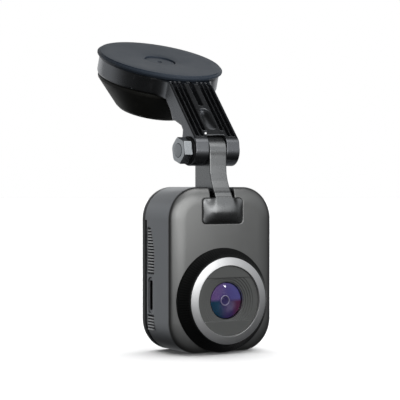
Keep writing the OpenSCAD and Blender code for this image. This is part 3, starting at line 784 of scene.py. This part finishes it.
V, Q = nets(bracket_field, lines((-10.3, -4.6, 0.3), (-4.6, 4.6, 0.23), (4.6, 10.3, 0.3)), lines((-4.8, 0.8, 0.2), (0.8, 14.8, 0.35)), lines((54.0, 66.6, 0.22), (66.6, 92.4, 0.33)))
build("camera_bracket_body", body_pts(V), Q, M_bracket, "camera", ["camera_bracket"])

# ------------------------------------------------------------------ shells
def outline2(x, z):
    return rrect(x, z - BH / 2, BW / 2, BH / 2, CR)


def cover_field(x, y, z):
    d2 = outline2(x, z)
    q1 = np.maximum(7.3 + d2, 0) / 7.3
    dep = 2.4 - 0.35 * (x / 25) ** 2
    q2 = np.maximum(-y, 0) / dep
    hy = np.maximum(np.hypot(q1, q2), 1e-6)
    e = (hy - 1) / np.maximum(np.hypot(q1 / 7.3, q2 / dep) / hy, 1e-3)
    d = both(e, y, 0.12)
    inner = both(both(d2 + 1.8, -(y + 0.95)), e + 1.45)
    d = cut(d, inner, 0.0)
    lens = np.hypot(x - LX, z - LZ)
    d = cut(d, both(lens - 19.0, -(y + 1.1)), 0.0)
    d = cut(d, lens - 17.6, 0.0)
    notch = both(np.abs(x) - 6.0, 63.4 - z)
    d = cut(d, notch, 0.28)
    window = rrect(x, z - 59.95, 10.02, 5.52, 1.9)
    return cut(d, window, 0.12)


V, Q = nets(cover_field, lines((-25.3, 25.3, 0.4)), lines((-2.75, 0.25, 0.16)), lines((-0.3, 53.5, 0.45), (53.5, 70.3, 0.3)))
build("front_cover_shell", body_pts(V), Q, M_cover, "camera", ["front_cover"])

VENTS = [(33.45 + 1.25 * i, 12.5 + max(0.0, 33.45 + 1.25 * i - 43.5) * 0.34) for i in range(16)] + [(10.2 + 1.25 * i, 12.6) for i in range(5)]


def housing_field(x, y, z):
    d2 = outline2(x, z)
    d = both(d2, slab(y, 0.02, HD), 0.12)
    d = cut(d, d2 + 1.8, 0.1)
    # slot for the neck
    slot = both(both(np.abs(x) - 6.0, 64.0 - z), y - 14.8)
    d = cut(d, slot, 0.3)
    # shadow groove ahead of the bezel
    gr = both(both(-(d2 + 0.8), -(y - 18.8)), z - 55.9 - 0.0)
    d = cut(d, gr, 0.12)
    # vents and card slot in the left wall
    near = x < -18
    if np.any(near):
        k = np.full(x.shape, 9.0, x.dtype)
        for lo, hi, c in ((32.85, 53.0, 0.34), (9.6, 15.8, 0.0)):
            edge = 12.45 + np.maximum(0, (z - 43.5) * c)
            d = cut(d, np.where(near, both(both(slab(z, lo, hi), both((edge - y) * 0.95, y - 18.25)), x + 24.6), 9.0), 0.06)
        for vz, vy in VENTS:
            k = np.minimum(k, rrect(y - (vy + 18.2) / 2, z - vz, (18.2 - vy) / 2, 0.23, 0.21))
        k = np.where(near, k, 9.0)
        d = cut(d, k, 0.26)
        rec = both(rrect(y - 15.35, z - 24.0, 2.35, 7.6, 1.9), x + 24.5)
        d = cut(d, np.where(near, rec, 9.0), 0.15)
        slotc = np.where(near, rrect(y - 15.9, z - 24.0, 1.1, 6.2, 0.5), 9.0)
        d = cut(d, slotc, 0.12)
    far = x > 18
    if np.any(far):
        usb = np.where(far, rrect(y - 15.9, z - 48.0, 1.75, 4.35, 1.5), 9.0)
        d = cut(d, usb, 0.25)
        rec = both(rrect(y - 15.9, z - 48.0, 2.6, 5.6, 2.0), 24.55 - x)
        d = cut(d, np.where(far, rec, 9.0), 0.15)
        pw = np.where(far, rrect(y - 15.8, z - 36.0, 1.6, 4.1, 1.3), 9.0)
        d = cut(d, pw, 0.2)
    d = cut(d, both(np.hypot(x - 8, y - 8) - 0.6, z - 5), 0.1)
    return d


V, Q = nets(housing_field, lines((-25.25, -22.9, 0.17), (-22.9, -8, 0.6), (-8, 8, 0.45), (8, 22.9, 0.6), (22.9, 25.25, 0.2)),
            lines((-0.3, 0.6, 0.15), (0.6, 12.0, 0.55), (12.0, 18.6, 0.35), (18.6, HD + 0.25, 0.2)),
            lines((-0.25, 2.2, 0.2), (2.2, 9.2, 0.6), (9.2, 16.0, 0.125), (16.0, 32.4, 0.4), (32.4, 53.6, 0.125), (53.6, 67.8, 0.5), (67.8, 70.25, 0.2)), rounds=2)
build("rear_housing_shell", body_pts(V), Q, M_housing, "camera", ["rear_housing"])


def rib_field(x, y, z):
    d = np.full(x.shape, 9.0, x.dtype)
    for vz, vy in VENTS:
        zc = vz + (0.625 if vz > 30 else -0.625)
        if zc < 52.6:
            d = np.minimum(d, rrect(y - (vy + 0.25 + 18.1) / 2, z - zc, (17.85 - vy) / 2, 0.37, 0.3))
    return both(d, slab(x, -24.97, -24.3), 0.2)


# raised vent ribs, coloured near white as painted light
V, Q = nets(rib_field, lines((-25.05, -24.2, 0.09)), lines((12.3, 18.4, 0.25)), lines((9.2, 16.4, 0.1), (16.4, 33.2, 2.0), (33.2, 53.2, 0.1)), rounds=2)
build("vent_ribs", body_pts(V), Q, M_rib_painted_lit, "camera", ())


def bezel_field(x, y, z):
    d2 = outline2(x, z)
    d = both(both(d2, HD - y, 0.15), y - BACK, 0.9)
    win = both(rrect(x, z - 45.0, 19.2, 15.2, 1.2), (BACK - 1.1) - y)
    d = cut(d, win, 0.15)
    d = cut(d, rrect(x, z - 45.5, 16.5, 12.5, 0.6), 0.0)
    for kx in (-15, -5, 5, 15):
        d = cut(d, rrect(x - kx, z - 14.0, 4.1, 2.3, 1.4), 0.2)
    for sx in (-18.6, 18.6):
        for sz in (7.6, 62.4):
            r = np.hypot(x - sx, z - sz)
            d = cut(d, both(r - 2.1, (BACK - 1.5) - y), 0.15)
            d = cut(d, r - 1.1, 0.0)
    d = cut(d, np.hypot(x, z - 24.5) - 1.05, 0.1)
    # shallow dish round the keys
    dish = both(rrect(x, z - 14.0, 21.0, 4.6, 4.2), (BACK - 0.25) - y)
    return cut(d, dish, 0.1)


V, Q = nets(bezel_field, lines((-25.3, 25.3, 0.36)), lines((HD - 0.3, BACK + 0.3, 0.2)), lines((-0.3, 70.3, 0.36)))
build("rear_bezel_plate", body_pts(V), Q, M_bezel, "camera", ["rear_bezel"])

# ------------------------------------------------------------------ lens
RIBS = 120


def ribs(th, r, a):
    if 3.0 < a < TIP - 1.25 and r > 18.8:
        t = (np.cos(th * RIBS) + 1) / 2
        return -0.17 * (1 - t) ** 2
    return 0 * th


barrel = [(14.8, 1.0), (17.4, 1.0), (17.4, 0.35), (21.6, 0.35)]
barrel += [(22.16, 0.55), (22.18, 1.6), (22.2, 2.1), (22.17, 2.45), (22.05, 2.8)]
for i in range(9):
    t = i / 8
    barrel.append((21.85 - (21.85 - 18.95) * t - 0.25 * math.sin(math.pi * t), 3.05 + (TIP - 1.3 - 3.05) * t))
barrel += [(18.85, TIP - 1.15), (18.7, TIP - 1.0), (18.4, TIP - 0.92), (17.55, TIP - 0.9), (17.5, TIP - 1.5), (14.8, TIP - 1.5)]
V, Q = turned(barrel, RIBS * 8, ribs)
build("lens_barrel_shell", body_pts(about_lens(V)), Q, M_barrel, "camera", ["lens_barrel"], sharp=40)

trim = fillet([(14.76, TIP - 1.5), (17.5, TIP - 1.5), (17.5, TIP - 0.88), (18.1, TIP - 0.9, 0.1), (18.38, TIP - 0.72, 0.10), (18.3, TIP - 0.58, 0.12), (15.0, TIP - 0.02, 0.1), (14.78, TIP - 0.28, 0.08)], 6)
V, Q = turned(trim, 256)
build("lens_trim_ring_face", body_pts(about_lens(V)), Q, M_ring, "camera", ["lens_trim_ring"], sharp=35)


def fascia_field(x, y, z):
    f = -y
    r = np.hypot(x - LX, z - LZ)
    top = TIP - 0.72
    d = both(both(r - 14.72, f - top, 0.05), 4.1 - f)
    band = both(slab(z, 13.7, 31.9), (top - 0.22) - f)
    d = cut(d, band, 0.12)
    for rr, dep in ((12.1, 0.45), (11.1, 0.75), (10.1, 1.05), (9.1, 1.4)):
        d = cut(d, both(both(r - rr, (top - dep) - f), np.abs(z - 22.8) - 9.1), 0.08)
    d = cut(d, both(r - 8.25, (top - 1.9) - f), 0.1)
    return cut(d, r - 7.85, 0.0)


V, Q = nets(fascia_field, lines((-15, 15, 0.2)), lines((-(TIP - 0.5), -(TIP - 3.0), 0.09), (-(TIP - 3.0), -3.9, 0.3)), lines((LZ - 15, LZ + 15, 0.2)), rounds=2)
build("lens_fascia_face", body_pts(V), Q, M_fascia, "camera", ["lens_fascia"])

# domed outer element, a thin meniscus
dome = [(7.62 * math.sin(t * math.pi / 2) if t < 1 else 7.7, 0) for t in np.linspace(0, 1, 25)]
dome = [(7.7 * k / 24, math.sqrt(16.4 ** 2 - (7.7 * k / 24) ** 2) - 8.65) for k in range(25)]
dome += [(7.7, 5.1), (7.35, 4.9)] + [(7.35 * k / 16, 4.9 + 1.45 * (1 - (k / 16) ** 2)) for k in range(15, -1, -1)]
V, Q = turned(dome, 160)
build("front_lens_dome", body_pts(about_lens(V)), Q, M_dome, "camera", ["front_lens"], sharp=40)

# coated inner element, and on it a pale ring that is a painted reflection of a ring of light
inner = [(0, 3.9), (0.9, 3.92), (1.6, 3.98), (2.3, 4.12), (3.4, 4.42), (4.8, 4.72), (6.2, 4.88), (7.35, 4.86), (7.6, 4.5), (7.6, 3.7), (6.1, 3.6), (0, 3.4)]
V, Q = turned(inner, 160)
build("inner_lens_coated", body_pts(about_lens(V)), Q, M_coating_painted_reflection, "camera", ["inner_lenses"], sharp=40)
tor = [(2.02 + 0.24 * math.cos(a), 4.22 + 0.20 * math.sin(a)) for a in np.linspace(0, 2 * np.pi, 13)[:-1]]
V, Q = turned(tor, 128)
# painted reflection: a pale lavender ring stands in for the ring of light reflected in the middle of the lens
M_ring_painted_reflection = finish_mat("pale ring painted reflection", (0.75, 0.70, 0.92), 0.25, metal=0.3, var=0.05, blotch=600, grain=5000, bump=0.0)
build("lens_ring_painted_reflection", body_pts(about_lens(V)), Q, M_ring_painted_reflection, "camera", ())

# ------------------------------------------------------------------ keys
MARK = {"menu_key": "bars", "up_key": "up", "down_key": "down", "ok_key": "dot"}
for k, kx in zip(("menu_key", "up_key", "down_key", "ok_key"), (-15, -5, 5, 15)):
    def key_field(x, y, z, kx=kx, mark=MARK[k]):
        u, v = x - kx, z - 14.0
        crown = BACK + 0.5 - 0.10 * (u / 3.9) ** 2 - 0.12 * (v / 2.1) ** 2
        cap = both(both(rrect(u, v, 3.9, 2.1, 1.2), y - crown, 0.3), 20.0 - y)
        foot = both(rrect(u, v, 4.6, 2.7, 0.8), slab(y, 19.4, 20.2), 0.15)
        d = join(cap, foot, 0.1)
        if mark == "dot":
            m = np.hypot(u, v) - 0.55
        elif mark == "bars":
            m = np.minimum(np.minimum(rrect(u, v - 0.6, 0.9, 0.13, 0.1), rrect(u, v, 0.9, 0.13, 0.1)), rrect(u, v + 0.6, 0.9, 0.13, 0.1))
        else:
            s = 1 if mark == "up" else -1
            m = np.maximum(np.abs(u) * 0.82 + s * v * 0.57 - 0.42, -s * v - 0.5)
        return cut(d, both(m, (crown - 0.16) - y), 0.05)
    V, Q = nets(key_field, lines((kx - 4.8, kx + 4.8, 0.13)), lines((19.2, 22.6, 0.35), (22.6, BACK + 0.7, 0.1)), lines((11.0, 17.0, 0.13)), rounds=2)
    build(k + "_cap", body_pts(V), Q, M_key, k, [k])


def power_field(x, y, z):
    u, v = y - 15.8 - 0.0, z - 36.0
    cap = both(both(rrect(y - 15.8, v, 1.4, 3.9, 1.2), x - (BW / 2 + 0.6 - 0.1 * (v / 3.9) ** 2), 0.25), 22.0 - x)
    for g in (-1.6, -0.8, 0, 0.8, 1.6):
        cap = cut(cap, both(rrect(y - 15.8, v - g, 0.9, 0.14, 0.1), (BW / 2 + 0.42) - x), 0.05)
    foot = both(rrect(y - 16.2, v, 1.65, 5.0, 0.4), slab(x, 21.5, 22.9), 0.15)
    return join(cap, foot, 0.1)


V, Q = nets(power_field, lines((21.3, 24.6, 0.3), (24.6, 25.9, 0.1)), lines((14.2, 18.1, 0.13)), lines((30.7, 41.3, 0.13)), rounds=2)
build("power_button_cap", body_pts(V), Q, M_key, "power_button", ["power_button"])

# ------------------------------------------------------------------ floor and light
def plane(name, pts, mat):
    me = bpy.data.meshes.new(name)
    me.from_pydata(pts, [], [list(range(len(pts)))])
    ob = bpy.data.objects.new(name, me)
    bpy.context.scene.collection.objects.link(ob)
    ob.data.materials.append(mat)
    return ob


floor_z = CAD_BOX[0].z
M_floor = bpy.data.materials.new("studio floor")
nt, N, L = nodes_of(M_floor)
p = N["Principled BSDF"]
p.inputs["Base Color"].default_value = (0.9, 0.9, 0.9, 1)
p.inputs["Roughness"].default_value = 0.9
p.inputs["Specular IOR Level"].default_value = 0.0
p.inputs["Emission Color"].default_value = (1, 1, 1, 1)
p.inputs["Emission Strength"].default_value = 0.03
fl = plane("floor", [(math.cos(a) * 5.2, math.sin(a) * 5.2, floor_z - 0.0002) for a in np.linspace(0, 2 * math.pi, 65)[:-1]], M_floor)
fl.visible_diffuse = False
fl.visible_glossy = False
fl.visible_transmission = False

# pale surround, seen only by the camera
M_sky = bpy.data.materials.new("studio surround")
nt, N, L = nodes_of(M_sky)
N.remove(N["Principled BSDF"])
em = N.new("ShaderNodeEmission")
em.inputs["Color"].default_value = (1, 1, 1, 1)
em.inputs["Strength"].default_value = 1.0
L.new(em.outputs[0], N["Material Output"].inputs["Surface"])
bpy.ops.mesh.primitive_uv_sphere_add(segments=48, ring_count=24, radius=5)
sky = bpy.context.object
sky.name = "surround"
sky.data.materials.append(M_sky)
for a in ("visible_diffuse", "visible_glossy", "visible_transmission", "visible_volume_scatter", "visible_shadow"):
    setattr(sky, a, False)

world = bpy.data.worlds.new("studio")
bpy.context.scene.world = world
world.use_nodes = True
wt = world.node_tree
WN, WL = wt.nodes, wt.links
bg = WN["Background"]
tc = WN.new("ShaderNodeTexCoord")
sx = WN.new("ShaderNodeSeparateXYZ")
WL.new(tc.outputs["Generated"], sx.inputs[0])


def wmath(op, *v):
    r = WN.new("ShaderNodeMath")
    r.operation = op
    for i, x in enumerate(v):
        if isinstance(x, (int, float)):
            r.inputs[i].default_value = x
        else:
            WL.new(x, r.inputs[i])
    return r.outputs[0]


def wramp(src, lo, hi):
    r = WN.new("ShaderNodeMapRange")
    r.interpolation_type = "SMOOTHSTEP"
    r.inputs["From Min"].default_value = math.radians(lo)
    r.inputs["From Max"].default_value = math.radians(hi)
    WL.new(src, r.inputs["Value"])
    return r.outputs["Result"]


# a soft studio in four bands of height; each row runs from behind round the left, the front and the right
around = wmath("MULTIPLY_ADD", wmath("ARCTAN2", sx.outputs["X"], wmath("MULTIPLY", sx.outputs["Y"], -1.0)), 0.5 / math.pi, 0.5)
height = wmath("ARCSINE", sx.outputs["Z"])
ROWS = {
    -45: (0.00, 0.00, 0.01, 0.01, 0.00, 0.00, 0.00, 0.10),
    -15: (0.08, 0.36, 0.03, 0.00, 0.13, 0.04, 0.00, 0.34),
    15: (0.40, 0.40, 0.03, 0.04, 0.36, 0.49, 0.00, 0.44),
    45: (0.16, 0.04, 0.03, 0.05, 0.24, 0.30, 0.00, 0.60),
}
tot = None
for e, row in ROWS.items():
    cr = WN.new("ShaderNodeValToRGB")
    cr.color_ramp.interpolation = "EASE"
    for i, v in enumerate(row + row[:1]):
        if i in (0, 8):
            el_ = cr.color_ramp.elements[0 if i == 0 else len(cr.color_ramp.elements) - 1]
        else:
            el_ = cr.color_ramp.elements.new(i / 8)
        el_.color = (v, v, v, 1)
    WL.new(around, cr.inputs["Fac"])
    win = wramp(wmath("ABSOLUTE", wmath("SUBTRACT", height, math.radians(e))), 30, 0)
    part = wmath("MULTIPLY", cr.outputs["Color"], win)
    tot = part if tot is None else wmath("ADD", tot, part)
WL.new(wmath("ADD", tot, 0.004), bg.inputs["Strength"])
bg.inputs["Color"].default_value = (0.96, 0.98, 1.0, 1)


def area(name, az, el, dist, size, power, colour=(1, 1, 1), aim=(0, -0.045, -0.07), sy=None):
    """az as the camera's: 0 in front, negative to the left"""
    a, e = math.radians(az), math.radians(el)
    d = Vector((math.sin(a) * math.cos(e), -math.cos(a) * math.cos(e), math.sin(e)))
    li = bpy.data.lights.new(name, "AREA")
    li.shape = "RECTANGLE"
    li.size, li.size_y = size, sy or size
    li.energy = power
    li.color = colour
    ob = bpy.data.objects.new(name, li)
    bpy.context.scene.collection.objects.link(ob)
    ob.location = Vector(aim) + d * dist
    ob.rotation_mode = "QUATERNION"
    ob.rotation_quaternion = d.to_track_quat("Z", "Y")
    return ob


BACK = ("rear_", "vent_ribs", "power_", "menu", "up", "down", "ok", "key", "screen", "display", "usb", "memory", "card", "status", "micro")


def softbox(name, az, el, watts, size=0.14, dist=0.24):
    ob = area(name, az, el, dist, size, watts, aim=Vector(body_pts([[0, 8, 45]])[0]))
    ob.data.shape = "DISK"
    return ob


softbox("front", 10, 10, 0.057)
softbox("front left", -15, 10, 0.035)
softbox("upper right", 20, 50, 0.041)
softbox("upper left", -30, 50, 0.010)
# small lamp that glints on the front lens alone
glint = area("glint", 26.6, 36, 0.8, 0.06, 4.0, aim=Vector(body_pts([[LX, -TIP, LZ]])[0]))
lens_only = bpy.data.collections.new("lens only")
lens_only.objects.link(bpy.data.objects["front_lens_dome"])
glint.light_linking.receiver_collection = lens_only
# plain fill for the pieces at the back and the right, which the lamps in front don't reach
fills = bpy.data.collections.new("back and side")
for ob in bpy.context.scene.objects:
    if ob.type == "MESH" and ob.name.startswith(BACK):
        fills.objects.link(ob)
for name, a_, e_, watts in (("right fill", 92, 4, 0.16), ("rear fill", 165, 8, 0.20), ("left fill", -92, 4, 0.10)):
    ob = area(name, a_, e_, 0.55, 0.42, watts)
    ob.light_linking.receiver_collection = fills
area("rear softbox", 178, 2, 0.55, 0.42, 0.24)
area("rear right softbox", 130, 5, 0.55, 0.36, 0.12)
# soft light for the floor alone, so that the object sits in its own contact shadow
sun = bpy.data.lights.new("floor light", "SUN")
sun.energy = 4.6
sun.angle = math.radians(100)
so = bpy.data.objects.new("floor light", sun)
bpy.context.scene.collection.objects.link(so)
so.rotation_euler = (math.radians(-28), math.radians(20), 0)
only = bpy.data.collections.new("floor only")
only.objects.link(fl)
so.light_linking.receiver_collection = only

# ------------------------------------------------------------------ camera
az, el = math.radians(-30.32), math.radians(0.765)
back_dir = Vector((math.sin(az) * math.cos(el), -math.cos(az) * math.cos(el), math.sin(el)))
aim = Vector(body_pts([[-8.766, 1.697, 64.559]])[0])
cd = bpy.data.cameras.new("camera")
cd.sensor_width, cd.lens = 36.0, 134.33
cd.clip_start, cd.clip_end = 0.01, 100
cam = bpy.data.objects.new("camera", cd)
bpy.context.scene.collection.objects.link(cam)
cam.location = aim + back_dir * 0.62981
cam.rotation_mode = "QUATERNION"
cam.rotation_quaternion = (-back_dir).to_track_quat("-Z", "Y")
bpy.context.scene.camera = cam
bpy.context.scene.view_settings.view_transform = "Standard"
